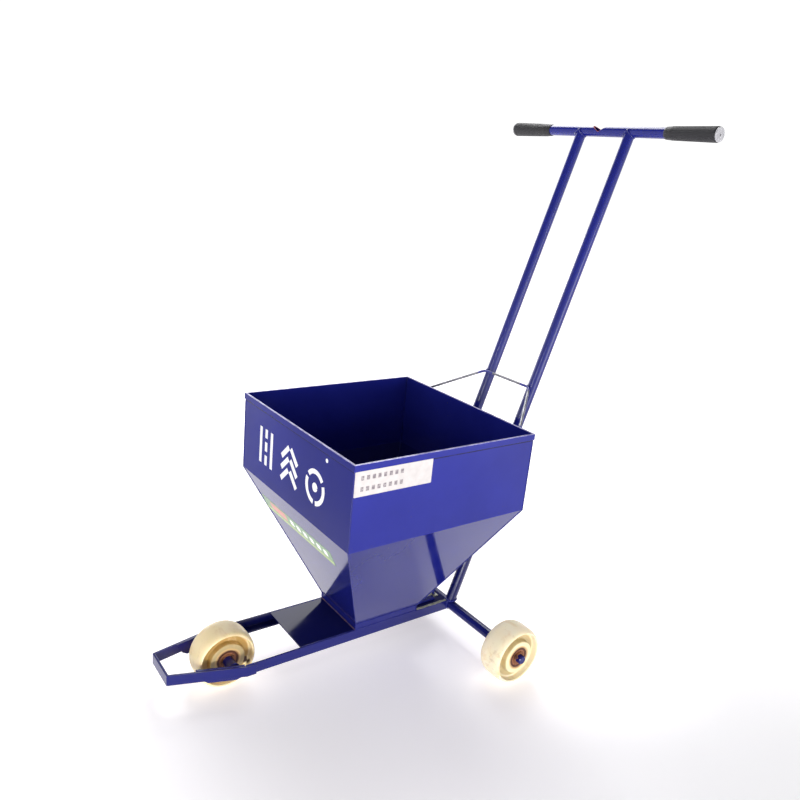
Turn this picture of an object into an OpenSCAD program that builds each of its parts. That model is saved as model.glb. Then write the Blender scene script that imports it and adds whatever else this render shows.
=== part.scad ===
// Walk-behind line marking cart: an open sheet-steel hopper of marking powder on a three-wheeled
// angle-iron chassis, pushed by a T-handle. Travel is towards -Y, +Z is up, the ground is Z = 0.
// "Left" and "right" are those of the person pushing: left is +X.

/* [Overall] */
// Length from the nose to the back of the grips
overall_l = 934; // [900:2:960]
// Height of the handle's cross bar above the ground
bar_z = 1033; // [950:1:1100]
// Height of the hopper's rim above the ground
rim_z = 480; // [450:1:520]

/* [Hopper] */
// Width of the hopper over its rim
hopper_w = 400; // [380:2:420]
// Length of the hopper over its rim
hopper_l = 394; // [370:2:400]
// Height of the upright walls, rim to fold
skirt_h = 154; // [120:2:180]
// Height of the doubled hem round the rim
hem_h = 12; // [8:1:18]
// Thickness of the sheet steel
sheet_t = 2; // [1.5:0.1:2.5]
// Width of the outlet at the foot of the chute
outlet_w = 130; // [124:1:131]
// Length of the outlet at the foot of the chute
outlet_l = 146; // [130:2:160]
// Height of the upright neck under the chute
neck_h = 12; // [10:1:20]
// Distance from the machine's middle forward to the hopper's front face
hopper_front = 235; // [225:1:240]

/* [Chassis] */
// Height of the rails' top edges above the ground
rail_top = 66; // [65:0.5:68]
// Leg length of the equal angle iron
angle_leg = 20; // [20:1:22]
// Thickness of the angle iron
angle_t = 3; // [3:0.5:4]
// Distance between the rails' outer faces
rails_w = 132; // [132:1:136]
// Width of the nose at its front face
nose_w = 72; // [64:1:80]
// How far the nose sits towards the right of the centre line
nose_skew = 8; // [0:1:10]
// Thickness of the nose's flat bar
nose_t = 4; // [3:0.5:5]
// Width of the powder slot in the base plate
slot_w = 76; // [50:2:78]
// Length of the powder slot in the base plate
slot_l = 36; // [20:2:40]
// Travel of the shutter from shut to fully open
shutter_travel = 60; // [50:1:60]

/* [Handle] */
// Outside diameter of the handle pipe
pipe_d = 21.3; // [20:0.1:22]
// Bore of the handle pipe
pipe_bore = 17.3; // [16:0.1:18]
// Distance between the handle tubes' centre lines
tubes_gap = 126; // [120:1:130]
// Length of the cross bar over its end caps
bar_l = 522; // [500:2:560]
// Length of each rubber grip
grip_l = 113; // [105:1:130]
// Diameter of the grips at their outer ends
grip_d = 29; // [28:0.5:32]
// Offset of the sighting notch towards the right
notch_offset = 12; // [0:1:16]

/* [Running gear] */
// Diameter of the wheels
wheel_d = 112; // [108:1:116]
// Width of the wheels
wheel_w = 52; // [50:1:54]
// Distance between the rear wheels' centre planes
track = 497; // [480:1:510]
// Distance from the machine's middle back to the rear axle
rear_axle_y = 126; // [120:1:130]
// Distance from the machine's middle forward to the front axle
front_axle = 355; // [350:1:360]
// Diameter of the axle bars
axle_d = 17; // [17:1:17]
// Outside diameter of the rear axle tube
axle_tube_d = 20; // [20:0.5:20]

/* [Hidden] */
$fn = 64;

// axle line
axle_z = wheel_d / 2;
front_y = -front_axle;

// hopper: half sizes at the rim and at the outlet, and the heights of the folds
rim_hx = hopper_w / 2;
rim_hy = hopper_l / 2;
out_hx = outlet_w / 2;
out_hy = outlet_l / 2;
hem_t = sheet_t;
hopper_y = -hopper_front + rim_hy;
fold_z = rim_z - skirt_h;
neck_z = rail_top + neck_h;

// base plate, shutter and its guides
plate_t = 3;
plate_hx = rails_w / 2 - angle_t;
plate_front_y = -hopper_front + 6;
plate_rear_y = rear_axle_y - 7.3;
shutter_t = 2;
shutter_hx = 42;
shutter_front_y = hopper_y + slot_l / 2 + 6 - shutter_travel;
shutter_rear_y = 112;
guide_gap = 0.5;
guide_wall = 8;
guide_lip = 4;
guide_h = shutter_t + guide_gap;
guide_outer = shutter_hx + guide_gap + guide_wall;
guide_rear_y = 96;
pull_d = 5;
pull_hx = 32;
pull_h = 24;
pull_y = shutter_rear_y - 6;
pull_r = 8;

// chassis
rail_hx = rails_w / 2;
rail_bottom = rail_top - angle_leg;
rail_front_y = front_y + 17;
nose_y = -overall_l / 2;
lap_l = 18;
axle_plate_t = 4;
axle_plate_drop = 7;
cope_r = axle_tube_d / 2 + 0.05;

// handle
grip_r = grip_d / 2;
bar_y = overall_l / 2 - grip_r;
bar_r = pipe_d / 2;
tube_hx = tubes_gap / 2;
tube_run = bar_y - rear_axle_y;
tube_rise = bar_z - axle_z;
tube_len = sqrt(tube_run * tube_run + tube_rise * tube_rise);
tube_lean = atan2(tube_run, tube_rise);
notch_w = 40;
cap_t = 2.5;
cap_bore = 5;
pipe_l = bar_l - 2 * cap_t;
notch_depth = 12;

// stay rod
stay_d = 5;
stay_tube_z = rim_z + 41;
stay_foot_z = rim_z - 23;
stay_foot_x = 157;
stay_knuckle_d = 5.8;
stay_clear = (bar_r + stay_knuckle_d / 2) / cos(tube_lean) + 0.05;
stay_y = rear_axle_y + (stay_tube_z - axle_z) * tube_run / tube_rise - stay_clear;

// bearings, size 6203: bore 17, outside 40, width 12
bearing_r = 20;
bearing_w = 12;
inner_race_r = 12.2;
outer_race_r = 16.3;
ball_r = 3.375;
ball_ring_r = 14.25;
ball_count = 8;
groove_r = 3.45;
shield_t = 0.8;
bearing_out = wheel_w / 2 - 1;
bearing_mid = bearing_out - bearing_w / 2;

// wheel section
recess_out_r = 48.5;
recess_in_r = 33;
recess_depth = 12;
shoulder_r = recess_out_r + 1;
shoulder_w = 18;
hub_step = 1;
hub_core_r = 15;

// rear axle
wheel_x = track / 2;
bearing_face_x = wheel_x + bearing_out;
axle_tube_hx = wheel_x - bearing_out - 0.2;
washer_t = 1.6;
washer_r = 12;
pin_d = 4;
pin_turn = 59;
pin_x = bearing_face_x + washer_t + 0.4 + pin_d / 2;
axle_hx = pin_x + 7;

paint = [0.15, 0.14, 0.48];
bare = [0.42, 0.42, 0.36];
nylon = [0.90, 0.83, 0.66];
rust = [0.42, 0.24, 0.15];
race = [0.30, 0.22, 0.18];
rubber = [0.22, 0.23, 0.24];
zinc = [0.62, 0.62, 0.62];

// a point moved by t to the right of the path a-b-c, on the mitre of its corner
function unit(v) = v / norm(v);
function right_of(v) = [v[1], -v[0]];
function mitre(a, b, c, t) =
    let (n1 = right_of(unit(b - a)), n2 = right_of(unit(c - b)))
    b + (n1 + n2) * t / (1 + n1 * n2);

// arc points from angle a to angle b about c
function arc(c, r, a, b, n) = [
    for (i = [0:n])
        let (angle = a + (b - a) * i / n)
            c + r * [cos(angle), sin(angle)]
];

// how far from the corner a-b-c a bend of radius r starts
function setback(a, b, c, r) = r / tan(acos(unit(a - b) * unit(c - b)) / 2);

// a cylinder of diameter d from p to q
module link(p, q, d) {
    v = q - p;
    translate(p)
        rotate([0, atan2(norm([v[0], v[1]]), v[2]), atan2(v[1], v[0])])
            cylinder(d = d, h = norm(v), $fn = 32);
}

// a bend of radius r at the corner a-b-c, in bar of diameter d
module elbow(a, b, c, r, d) {
    back = unit(a - b);
    half = acos(back * unit(c - b)) / 2;
    centre = b + unit(back + unit(c - b)) * r / sin(half);
    e1 = unit(b + back * setback(a, b, c, r) - centre);
    e2 = -back;
    n = cross(e1, e2);
    multmatrix([
        [e1[0], e2[0], n[0], centre[0]],
        [e1[1], e2[1], n[1], centre[1]],
        [e1[2], e2[2], n[2], centre[2]],
        [0, 0, 0, 1],
    ])
        rotate_extrude(angle = 180 - 2 * half)
            translate([r, 0])
                circle(d = d, $fn = 32);
}

// round bar along points, with bends of radius r
module round_bar(points, r, d) {
    last = len(points) - 2;
    for (i = [0:last]) {
        p = points[i];
        q = points[i + 1];
        dir = unit(q - p);
        link(
            i == 0 ? p : p + dir * setback(points[i - 1], p, q, r),
            i == last ? q : q - dir * setback(p, q, points[i + 2], r),
            d
        );
    }
    for (i = [1:last]) elbow(points[i - 1], points[i], points[i + 1], r, d);
}

// section of a hopper wall: hem, upright wall, sloping chute and neck, as (distance out, height)
module wall_section(top, out, bottom) {
    slope = atan2(top - hem_t - out, fold_z - neck_z);
    shift = sheet_t * tan(slope / 2);
    polygon([
        [top, rim_z], [top, rim_z - hem_h], [top - hem_t, rim_z - hem_h],
        [top - hem_t, fold_z], [out, neck_z], [out, bottom], [out - sheet_t, bottom],
        [out - sheet_t, neck_z + shift], [top - hem_t - sheet_t, fold_z + shift],
        [top - hem_t - sheet_t, rim_z],
    ]);
}

// one hopper wall facing +X, half sizes along X and Y at the rim and at the outlet
module wall(top, out, side_top, side_out, bottom) {
    reach = 0.12;
    intersection() {
        rotate([90, 0, 0])
            linear_extrude(height = 2 * side_top, center = true)
                wall_section(top, out, bottom);
        linear_extrude(height = rim_z + 10)
            polygon([
                [top, side_top], [top, -side_top],
                [out - reach * (top - out), -side_out + reach * (side_top - side_out)],
                [out - reach * (top - out), side_out - reach * (side_top - side_out)],
            ]);
    }
}

module hopper_side(turn) {
    color(paint)
        translate([0, hopper_y, 0])
            rotate([0, 0, turn])
                wall(rim_hx, out_hx, rim_hy, out_hy, rail_top);
}

module hopper_end(turn) {
    color(paint)
        translate([0, hopper_y, 0])
            rotate([0, 0, turn])
                wall(rim_hy, out_hy, rim_hx, out_hx, rail_top);
}

module hopper_front() {
    hopper_end(-90);
}

// the rear wall's neck is cut away over the shutter and its guides
module hopper_rear() {
    difference() {
        hopper_end(90);
        translate([-guide_outer - 0.3, hopper_y + out_hy - sheet_t - 1, rail_top - 1])
            cube([2 * guide_outer + 0.6, sheet_t + 2, guide_h + sheet_t + 1.3]);
    }
}

module hopper_left() {
    hopper_side(0);
}

module hopper_right() {
    hopper_side(180);
}

module base_plate() {
    color(paint)
        difference() {
            translate([-plate_hx, plate_front_y, rail_top - plate_t])
                cube([2 * plate_hx, plate_rear_y - plate_front_y, plate_t]);
            translate([-slot_w / 2, hopper_y - slot_l / 2, rail_top - plate_t - 1])
                cube([slot_w, slot_l, plate_t + 2]);
        }
}

module shutter_guides() {
    inner = shutter_hx + guide_gap;
    color(paint)
        for (side = [0, 1])
            mirror([side, 0, 0])
                translate([0, shutter_front_y, rail_top]) {
                    translate([inner, 0, 0])
                        cube([guide_wall, guide_rear_y - shutter_front_y, guide_h]);
                    translate([inner - guide_lip, 0, guide_h])
                        cube([guide_wall + guide_lip, guide_rear_y - shutter_front_y, sheet_t]);
                }
}

module shutter_plate() {
    color(bare)
        translate([-shutter_hx, shutter_front_y, rail_top + 0.05])
            cube([2 * shutter_hx, shutter_rear_y - shutter_front_y, shutter_t - 0.05]);
}

// stirrup of round bar that the shutter is pulled open by
module shutter_pull() {
    foot = rail_top + shutter_t;
    a = [-pull_hx, pull_y, foot];
    b = [-pull_hx, pull_y, foot + pull_h];
    c = [pull_hx, pull_y, foot + pull_h];
    d = [pull_hx, pull_y, foot];
    color(paint)
        round_bar([a, b, c, d], pull_r, pull_d);
}

// side = 1 for the left rail, -1 for the right one
module rail(side) {
    color(paint)
        difference() {
            mirror([side < 0 ? 1 : 0, 0, 0])
                translate([0, rear_axle_y, 0])
                    rotate([90, 0, 0])
                        linear_extrude(height = rear_axle_y - rail_front_y)
                            translate([rail_hx, rail_bottom])
                                polygon([
                                    [0, 0], [0, angle_leg], [-angle_t, angle_leg], [-angle_t, angle_t],
                                    [-angle_leg, angle_t], [-angle_leg, 0],
                                ]);
            translate([0, rear_axle_y, axle_z])
                rotate([0, 90, 0])
                    cylinder(r = cope_r, h = 2 * rails_w, center = true);
        }
}

// outline of the nose bar's outer face, from the left lap round to the right one
nose_lap_y = rail_front_y + lap_l;
nose_hx = rail_hx + nose_t;
nose_path = [
    [nose_hx, nose_lap_y], [nose_hx, rail_front_y],
    [nose_w / 2 - nose_skew, nose_y], [-nose_w / 2 - nose_skew, nose_y],
    [-nose_hx, rail_front_y], [-nose_hx, nose_lap_y],
];

function nose_offset(t) = [
    for (i = [0:5])
        i == 0 ? nose_path[0] - [t, 0]
        : i == 5 ? nose_path[5] + [t, 0]
        : mitre(nose_path[i - 1], nose_path[i], nose_path[i + 1], t)
];

module nose_bar() {
    inner = nose_offset(nose_t);
    color(paint)
        translate([0, 0, rail_bottom])
            linear_extrude(height = angle_leg)
                polygon(concat(nose_path, [for (i = [5:-1:0]) inner[i]]));
}

module front_axle_hole() {
    translate([0, front_y, axle_z])
        rotate([0, 90, 0])
            cylinder(d = axle_d, h = 2 * rails_w, center = true);
}

// trapezoid plate that carries the front axle, flat against the inside of the nose bar
module axle_plate(side) {
    outer = side > 0 ? nose_path[1] : nose_path[4];
    tip = side > 0 ? nose_path[2] : nose_path[3];
    dir = unit(tip - outer);
    start = outer + (side > 0 ? right_of(dir) : -right_of(dir)) * nose_t;
    color(paint)
        difference() {
            translate([start[0], start[1], 0])
                rotate([0, 0, atan2(dir[1], dir[0])])
                    mirror([0, side > 0 ? 1 : 0, 0])
                        rotate([90, 0, 0])
                            mirror([0, 0, 1])
                                linear_extrude(height = axle_plate_t)
                                    polygon([
                                        [4, rail_bottom], [18, rail_bottom - axle_plate_drop],
                                        [66, rail_bottom - axle_plate_drop], [76, rail_bottom],
                                        [88, rail_top + 1], [4, rail_top + 1],
                                    ]);
            front_axle_hole();
        }
}

// the front axle ends flush against the inside of the nose bar
module front_axle() {
    color(paint)
        intersection() {
            translate([0, front_y, axle_z])
                rotate([0, 90, 0])
                    cylinder(d = axle_d, h = 2 * rails_w, center = true);
            linear_extrude(height = rim_z)
                polygon(nose_offset(nose_t));
        }
}

// distance pieces between the front wheel's bearings and the axle plates
module front_spacers() {
    color(paint)
        translate([0, front_y, axle_z])
            difference() {
                union() {
                    translate([bearing_out + 0.2, 0, 0])
                        rotate([0, 90, 0])
                            cylinder(d = axle_tube_d, h = 26.5);
                    translate([-bearing_out - 0.2 - 29.5, 0, 0])
                        rotate([0, 90, 0])
                            cylinder(d = axle_tube_d, h = 29.5);
                }
                rotate([0, 90, 0])
                    cylinder(d = axle_d + 0.2, h = 2 * rails_w, center = true);
            }
}

module rear_axle_tube() {
    color(paint)
        translate([0, rear_axle_y, axle_z])
            rotate([0, 90, 0])
                difference() {
                    cylinder(d = axle_tube_d, h = 2 * axle_tube_hx, center = true);
                    cylinder(d = axle_d + 0.2, h = 2 * axle_tube_hx + 2, center = true);
                }
}

module rear_axle() {
    chamfer = 1.5;
    r = axle_d / 2;
    color(paint)
        translate([0, rear_axle_y, axle_z])
            difference() {
                rotate([0, 90, 0])
                    rotate_extrude()
                        polygon([
                            [0, -axle_hx], [r - chamfer, -axle_hx], [r, -axle_hx + chamfer],
                            [r, axle_hx - chamfer], [r - chamfer, axle_hx], [0, axle_hx],
                        ]);
                for (x = [-pin_x, pin_x])
                    translate([x, 0, 0])
                        rotate([pin_turn, 0, 0])
                            cylinder(d = pin_d, h = axle_d + 2, center = true);
            }
}

module rear_washers() {
    color(rust)
        for (side = [-1, 1])
            translate([side * (bearing_face_x + 0.2 + washer_t / 2), rear_axle_y, axle_z])
                rotate([0, 90, 0])
                    difference() {
                        cylinder(r = washer_r, h = washer_t, center = true);
                        cylinder(d = axle_d + 0.2, h = washer_t + 2, center = true);
                    }
}

// split pins: an eye in front of the axle and a shank slanting through it
module split_pins() {
    eye_r = 2.8;
    wire_r = 1.4;
    shank = axle_d / 2 + 3;
    color(rust)
        for (side = [-1, 1])
            translate([side * pin_x, rear_axle_y, axle_z])
                rotate([pin_turn, 0, 0]) {
                    translate([0, 0, -shank])
                        cylinder(d = pin_d, h = 2 * shank - 1);
                    translate([0, 0, shank + eye_r - 1])
                        rotate([0, 90, 0])
                            rotate_extrude()
                                translate([eye_r, 0])
                                    circle(r = wire_r);
                }
}

// handle tube: stands on the rails' rear ends, saddled to the cross bar
module handle_tube(side) {
    color(paint)
        difference() {
            translate([side * tube_hx, rear_axle_y, axle_z])
                rotate([-tube_lean, 0, 0])
                    difference() {
                        cylinder(d = pipe_d, h = tube_len);
                        translate([0, 0, -1])
                            cylinder(d = pipe_bore, h = tube_len + 2);
                    }
            translate([side * tube_hx - 20, rear_axle_y - 30, 0])
                cube([40, 60, rail_top + 0.05]);
            translate([0, bar_y, bar_z])
                rotate([0, 90, 0])
                    cylinder(d = pipe_d + 0.02, h = 2 * tubes_gap, center = true);
        }
}

module cross_bar() {
    color(paint)
        difference() {
            translate([0, bar_y, bar_z])
                rotate([0, 90, 0])
                    difference() {
                        cylinder(d = pipe_d, h = pipe_l, center = true);
                        cylinder(d = pipe_bore, h = pipe_l + 2, center = true);
                    }
            translate([-notch_offset, bar_y + pipe_d, bar_z + bar_r])
                rotate([90, 0, 0])
                    linear_extrude(height = 2 * pipe_d)
                        polygon([
                            [-notch_w / 2 - 1, 1], [-notch_w / 2, 0], [0, -notch_depth],
                            [notch_w / 2, 0], [notch_w / 2 + 1, 1],
                        ]);
        }
}

module grip(side) {
    mouth_r = bar_r + 1.1;
    waist_r = bar_r + 2.4;
    start = bar_l / 2 - grip_l;
    end = pipe_l / 2;
    collar = [[bar_r, start], [mouth_r, start], [mouth_r + 0.4, start + 4], [waist_r, start + 14]];
    color(rubber)
        translate([0, bar_y, bar_z])
            mirror([side < 0 ? 1 : 0, 0, 0])
                rotate([0, 90, 0])
                    rotate_extrude()
                        polygon(concat(
                            collar,
                            arc([grip_r - 1.5, end - 1.5], 1.5, 0, 90, 4),
                            [[bar_r, end]]
                        ));
}

// pale plugs that close the cross bar's ends, each with a small hole
module bar_caps() {
    flange_r = grip_r - 1;
    plug_r = pipe_bore / 2 - 0.05;
    plug_l = 9;
    color(zinc)
        translate([0, bar_y, bar_z])
            for (side = [0, 1])
                mirror([side, 0, 0])
                    rotate([0, 90, 0])
                        rotate_extrude()
                            polygon(concat(
                                [[cap_bore / 2, pipe_l / 2 - plug_l], [plug_r, pipe_l / 2 - plug_l]],
                                [[plug_r, pipe_l / 2 + 0.05], [flange_r, pipe_l / 2 + 0.05]],
                                arc([flange_r - 1.2, bar_l / 2 - 1.2], 1.2, 0, 90, 4),
                                [[cap_bore / 2, bar_l / 2]]
                            ));
}

// one rod from the rear wall up to the handle tubes, across both and back down, a knuckle at each corner
module stay_rod() {
    foot_y = hopper_y + rim_hy - hem_t + 1.9;
    corner_x = tube_hx + 4;
    color(zinc) {
        link([-corner_x, stay_y, stay_tube_z], [corner_x, stay_y, stay_tube_z], stay_d);
        for (side = [-1, 1]) {
            link([side * stay_foot_x, foot_y, stay_foot_z], [side * corner_x, stay_y, stay_tube_z], stay_d);
            translate([side * corner_x, stay_y, stay_tube_z])
                rotate([0, 0, 90])
                    sphere(d = stay_knuckle_d, $fn = 32);
        }
    }
}

// half of the wheel's section in (radius, distance along the axle) order
function wheel_half() = concat(
    [[hub_core_r, 0], [hub_core_r, bearing_out - bearing_w], [bearing_r, bearing_out - bearing_w],
     [bearing_r, wheel_w / 2 - hub_step], [recess_in_r - 1.5, wheel_w / 2 - hub_step],
     [recess_in_r, wheel_w / 2 - hub_step - 1.5], [recess_in_r + 1, wheel_w / 2 - recess_depth]],
    [[recess_out_r - 1, wheel_w / 2 - recess_depth], [recess_out_r, wheel_w / 2 - 1.5]],
    [for (p = arc([0, 0], 1, 90, 0, 8))
        [shoulder_r + (wheel_d / 2 - shoulder_r) * p[0], wheel_w / 2 - shoulder_w + shoulder_w * p[1]]],
    [[wheel_d / 2, 0]]);

module wheel_body() {
    half = wheel_half();
    color(nylon)
        rotate([0, 90, 0])
            rotate_extrude($fn = 96)
                polygon(concat(half, [for (i = [len(half) - 2:-1:1]) [half[i][0], -half[i][1]]]));
}

// both bearings of a wheel, each part in place about the X axis
module for_bearings() {
    for (side = [-1, 1])
        translate([side * bearing_mid, 0, 0])
            rotate([0, 90, 0])
                children();
}

module outer_races() {
    color(race)
        for_bearings()
            difference() {
                cylinder(r = bearing_r, h = bearing_w, center = true);
                cylinder(r = outer_race_r, h = bearing_w + 2, center = true);
                ball_groove();
            }
}

module inner_races() {
    color(race)
        for_bearings()
            difference() {
                cylinder(r = inner_race_r, h = bearing_w, center = true);
                cylinder(d = axle_d, h = bearing_w + 2, center = true);
                ball_groove();
            }
}

module ball_groove() {
    rotate_extrude()
        translate([ball_ring_r, 0])
            circle(r = groove_r, $fn = 32);
}

module balls() {
    color(zinc)
        for_bearings()
            for (i = [0:ball_count - 1])
                rotate([0, 0, i * 360 / ball_count])
                    translate([ball_ring_r, 0, 0])
                        sphere(r = ball_r, $fn = 24);
}

// thin dust shields let into the outer races
module shields() {
    color(rust)
        for (side = [-1, 1])
            translate([side * (bearing_out - 1.2), 0, 0])
                rotate([0, 90, 0])
                    difference() {
                        cylinder(r = outer_race_r, h = shield_t, center = true);
                        cylinder(r = inner_race_r + 0.4, h = shield_t + 2, center = true);
                    }
}

// a part of the running gear moved to its wheel
module at_front() {
    translate([0, front_y, axle_z]) children();
}

module at_rear(side) {
    translate([side * wheel_x, rear_axle_y, axle_z]) children();
}

hopper_front();
hopper_rear();
hopper_left();
hopper_right();
base_plate();
shutter_guides();
rail(1);  // rail_left
rail(-1);  // rail_right
nose_bar();
axle_plate(1);  // axle_plate_left
axle_plate(-1);  // axle_plate_right
front_axle();
front_spacers();
rear_axle_tube();
rear_axle();
rear_washers();
split_pins();
handle_tube(1);  // handle_tube_left
handle_tube(-1);  // handle_tube_right
cross_bar();
grip(1);  // grip_left
grip(-1);  // grip_right
bar_caps();
stay_rod();
shutter_plate();
shutter_pull();
at_front() wheel_body();  // front_wheel
at_front() outer_races();  // front_outer_races
at_front() inner_races();  // front_inner_races
at_front() balls();  // front_balls
at_front() shields();  // front_shields
at_rear(1) wheel_body();  // left_wheel
at_rear(1) outer_races();  // left_outer_races
at_rear(1) inner_races();  // left_inner_races
at_rear(1) balls();  // left_balls
at_rear(1) shields();  // left_shields
at_rear(-1) wheel_body();  // right_wheel
at_rear(-1) outer_races();  // right_outer_races
at_rear(-1) inner_races();  // right_inner_races
at_rear(-1) balls();  // right_balls
at_rear(-1) shields();  // right_shields
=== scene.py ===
"""Looks of the line marking cart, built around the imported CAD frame.

The CAD parts keep their shape and place. This script gives them their paint, nylon, rust and rubber, adds
the weld beads, the smoothly bent stay rod, the moulded grips and the plain markings, and sets the floor,
the lights and the camera.
"""

import math

import bpy
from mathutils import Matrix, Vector, noise


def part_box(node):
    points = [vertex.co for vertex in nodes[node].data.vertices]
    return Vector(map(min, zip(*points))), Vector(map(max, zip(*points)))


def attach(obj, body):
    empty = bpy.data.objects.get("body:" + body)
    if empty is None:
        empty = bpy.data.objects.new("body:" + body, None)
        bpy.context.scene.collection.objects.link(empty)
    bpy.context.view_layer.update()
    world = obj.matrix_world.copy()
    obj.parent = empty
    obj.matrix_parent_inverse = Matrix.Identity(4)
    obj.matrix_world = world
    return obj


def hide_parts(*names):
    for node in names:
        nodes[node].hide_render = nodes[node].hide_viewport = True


MM = 0.001

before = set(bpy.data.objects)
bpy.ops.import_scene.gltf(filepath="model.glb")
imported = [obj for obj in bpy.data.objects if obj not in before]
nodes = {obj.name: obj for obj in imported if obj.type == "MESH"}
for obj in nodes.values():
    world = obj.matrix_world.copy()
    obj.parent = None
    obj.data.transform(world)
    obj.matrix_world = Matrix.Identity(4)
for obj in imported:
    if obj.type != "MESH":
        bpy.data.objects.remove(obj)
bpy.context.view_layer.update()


# ---------------------------------------------------------------- places, from the CAD boxes

# The hopper's folds and outlet and the sighting notch, which no box shows.
HEM = 2 * MM
SKIRT_H = 154 * MM
HEM_H = 12 * MM
NECK_H = 12 * MM
OUTLET_X = 65 * MM
OUTLET_Y = 73 * MM
NOTCH_X, NOTCH_HALF, NOTCH_DEPTH = -12 * MM, 20 * MM, 12 * MM

_, hopper_left_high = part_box("hopper_left")
hopper_front_low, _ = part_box("hopper_front")
_, hopper_rear_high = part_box("hopper_rear")
plate_low, plate_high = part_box("base_plate")
rail_low, rail_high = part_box("rail_left")
tube_low, tube_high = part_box("handle_tube_left")
bar_low, bar_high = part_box("cross_bar")
axle_tube_low, axle_tube_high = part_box("rear_axle_tube")
pull_low, pull_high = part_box("shutter_pull")
_, stay_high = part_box("stay_rod")

rim_z = hopper_left_high.z
skirt_x = hopper_left_high.x - HEM
skirt_front_y = hopper_front_low.y + HEM
skirt_rear_y = hopper_rear_high.y - HEM
hopper_y = (hopper_front_low.y + hopper_rear_high.y) / 2
fold_z = rim_z - SKIRT_H
plate_z = plate_high.z
neck_z = plate_z + NECK_H
bar_centre = (bar_low + bar_high) / 2
pipe_r = (bar_high.y - bar_low.y) / 2
axle_centre = (axle_tube_low + axle_tube_high) / 2
axle_tube_r = (axle_tube_high.z - axle_tube_low.z) / 2
tube_x = (tube_low.x + tube_high.x) / 2
tube_dir = Vector((0, bar_centre.y - axle_centre.y, bar_centre.z - axle_centre.z)).normalized()


def centre_of(node):
    low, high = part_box(node)
    return (low + high) / 2


# ---------------------------------------------------------------- materials

NAVY = (0.010, 0.014, 0.185, 1)
BLUE = (0.015, 0.020, 0.235, 1)
PRIMER = (0.42, 0.085, 0.06, 1)
SEAM_BROWN = (0.075, 0.028, 0.035, 1)
OLIVE = (0.105, 0.105, 0.085, 1)
BARE = (0.30, 0.30, 0.26, 1)
# Painted shade on the front panel's low +X corner.
SHADE_NAVY = (0.007, 0.009, 0.10, 1)
SCUFF_BLACK = (0.006, 0.005, 0.02, 1)
# Painted shadow under the hem.
HEM_SHADE = (0.004, 0.004, 0.045, 1)
# Paint wear and painted highlight on the rim's top edge.
WEAR_AND_HIGHLIGHT_LILAC = (0.42, 0.40, 0.66, 1)
PAINT_DUST = (0.05, 0.035, 0.06, 1)


class Shader:
    """One material, with a short call for each kind of node used here."""

    def __init__(self, name, roughness=0.5, metallic=0.0, ior=1.5):
        self.material = bpy.data.materials.new(name)
        self.material.use_nodes = True
        self.tree = self.material.node_tree
        self.surface = self.tree.nodes["Principled BSDF"]
        self.set("Roughness", roughness)
        self.set("Metallic", metallic)
        self.set("IOR", ior)
        self.position = self.add("ShaderNodeTexCoord").outputs["Object"]
        self.height = None

    def add(self, kind, **settings):
        made = self.tree.nodes.new(kind)
        for key, value in settings.items():
            setattr(made, key, value)
        return made

    def plug(self, socket, value):
        if isinstance(value, bpy.types.NodeSocket):
            self.tree.links.new(value, socket)
        else:
            socket.default_value = value

    def set(self, name, value):
        self.plug(self.surface.inputs[name], value)

    def noise(self, scale, detail=3.0, rough=0.5, distortion=0.0, seed=0.0, stretch=None):
        vector = self.position
        if stretch or seed:
            mapping = self.add("ShaderNodeMapping")
            self.plug(mapping.inputs["Vector"], vector)
            mapping.inputs["Location"].default_value = (seed, seed * 0.7, -seed)
            mapping.inputs["Scale"].default_value = stretch or (1, 1, 1)
            vector = mapping.outputs["Vector"]
        made = self.add("ShaderNodeTexNoise")
        self.plug(made.inputs["Vector"], vector)
        made.inputs["Scale"].default_value = scale
        made.inputs["Detail"].default_value = detail
        made.inputs["Roughness"].default_value = rough
        made.inputs["Distortion"].default_value = distortion
        return made.outputs["Fac"]

    def math(self, operation, a, b=0.0):
        made = self.add("ShaderNodeMath", operation=operation)
        self.plug(made.inputs[0], a)
        self.plug(made.inputs[1], b)
        return made.outputs[0]

    def vector(self, operation, a, b):
        made = self.add("ShaderNodeVectorMath", operation=operation)
        self.plug(made.inputs[0], a)
        self.plug(made.inputs[1], b)
        return made.outputs["Value" if operation in ("LENGTH", "DISTANCE") else "Vector"]

    def axis(self, name):
        made = self.add("ShaderNodeSeparateXYZ")
        self.plug(made.inputs[0], self.position)
        return made.outputs[name]

    def span(self, value, low, high, to_low=0.0, to_high=1.0):
        """Takes value smoothly from the range low to high to the range to_low to to_high, held outside."""
        made = self.add("ShaderNodeMapRange", interpolation_type="SMOOTHSTEP")
        names = ("Value", "From Min", "From Max", "To Min", "To Max")
        for name, x in zip(names, (value, low, high, to_low, to_high)):
            self.plug(made.inputs[name], x)
        return made.outputs["Result"]

    def band(self, value, low, high, soft):
        """1 where value lies from low to high, falling off over soft on each side."""
        return self.math(
            "MULTIPLY", self.span(value, low - soft, low), self.span(value, high, high + soft, 1.0, 0.0)
        )

    def ramp(self, value, *stops):
        made = self.add("ShaderNodeValToRGB")
        self.plug(made.inputs["Fac"], value)
        elements = made.color_ramp.elements
        while len(elements) < len(stops):
            elements.new(0.5)
        for element, (position, colour) in zip(elements, stops):
            element.position = position
            element.color = colour
        return made.outputs["Color"]

    def mix(self, factor, a, b):
        made = self.add("ShaderNodeMix", data_type="RGBA")
        self.plug(made.inputs[0], factor)
        self.plug(made.inputs[6], a)
        self.plug(made.inputs[7], b)
        return made.outputs[2]

    def bump(self, height, distance):
        """One more layer of relief, distance high in metres."""
        made = self.add("ShaderNodeBump")
        self.plug(made.inputs["Height"], height)
        made.inputs["Distance"].default_value = distance
        made.inputs["Strength"].default_value = 1.0
        if self.height is not None:
            self.plug(made.inputs["Normal"], self.height)
        self.height = made.outputs["Normal"]
        self.set("Normal", self.height)


def toned(colour, tone):
    """The same colour, darker for a tone below 1."""
    return tuple(c * tone for c in colour[:3]) + (1,)


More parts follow.
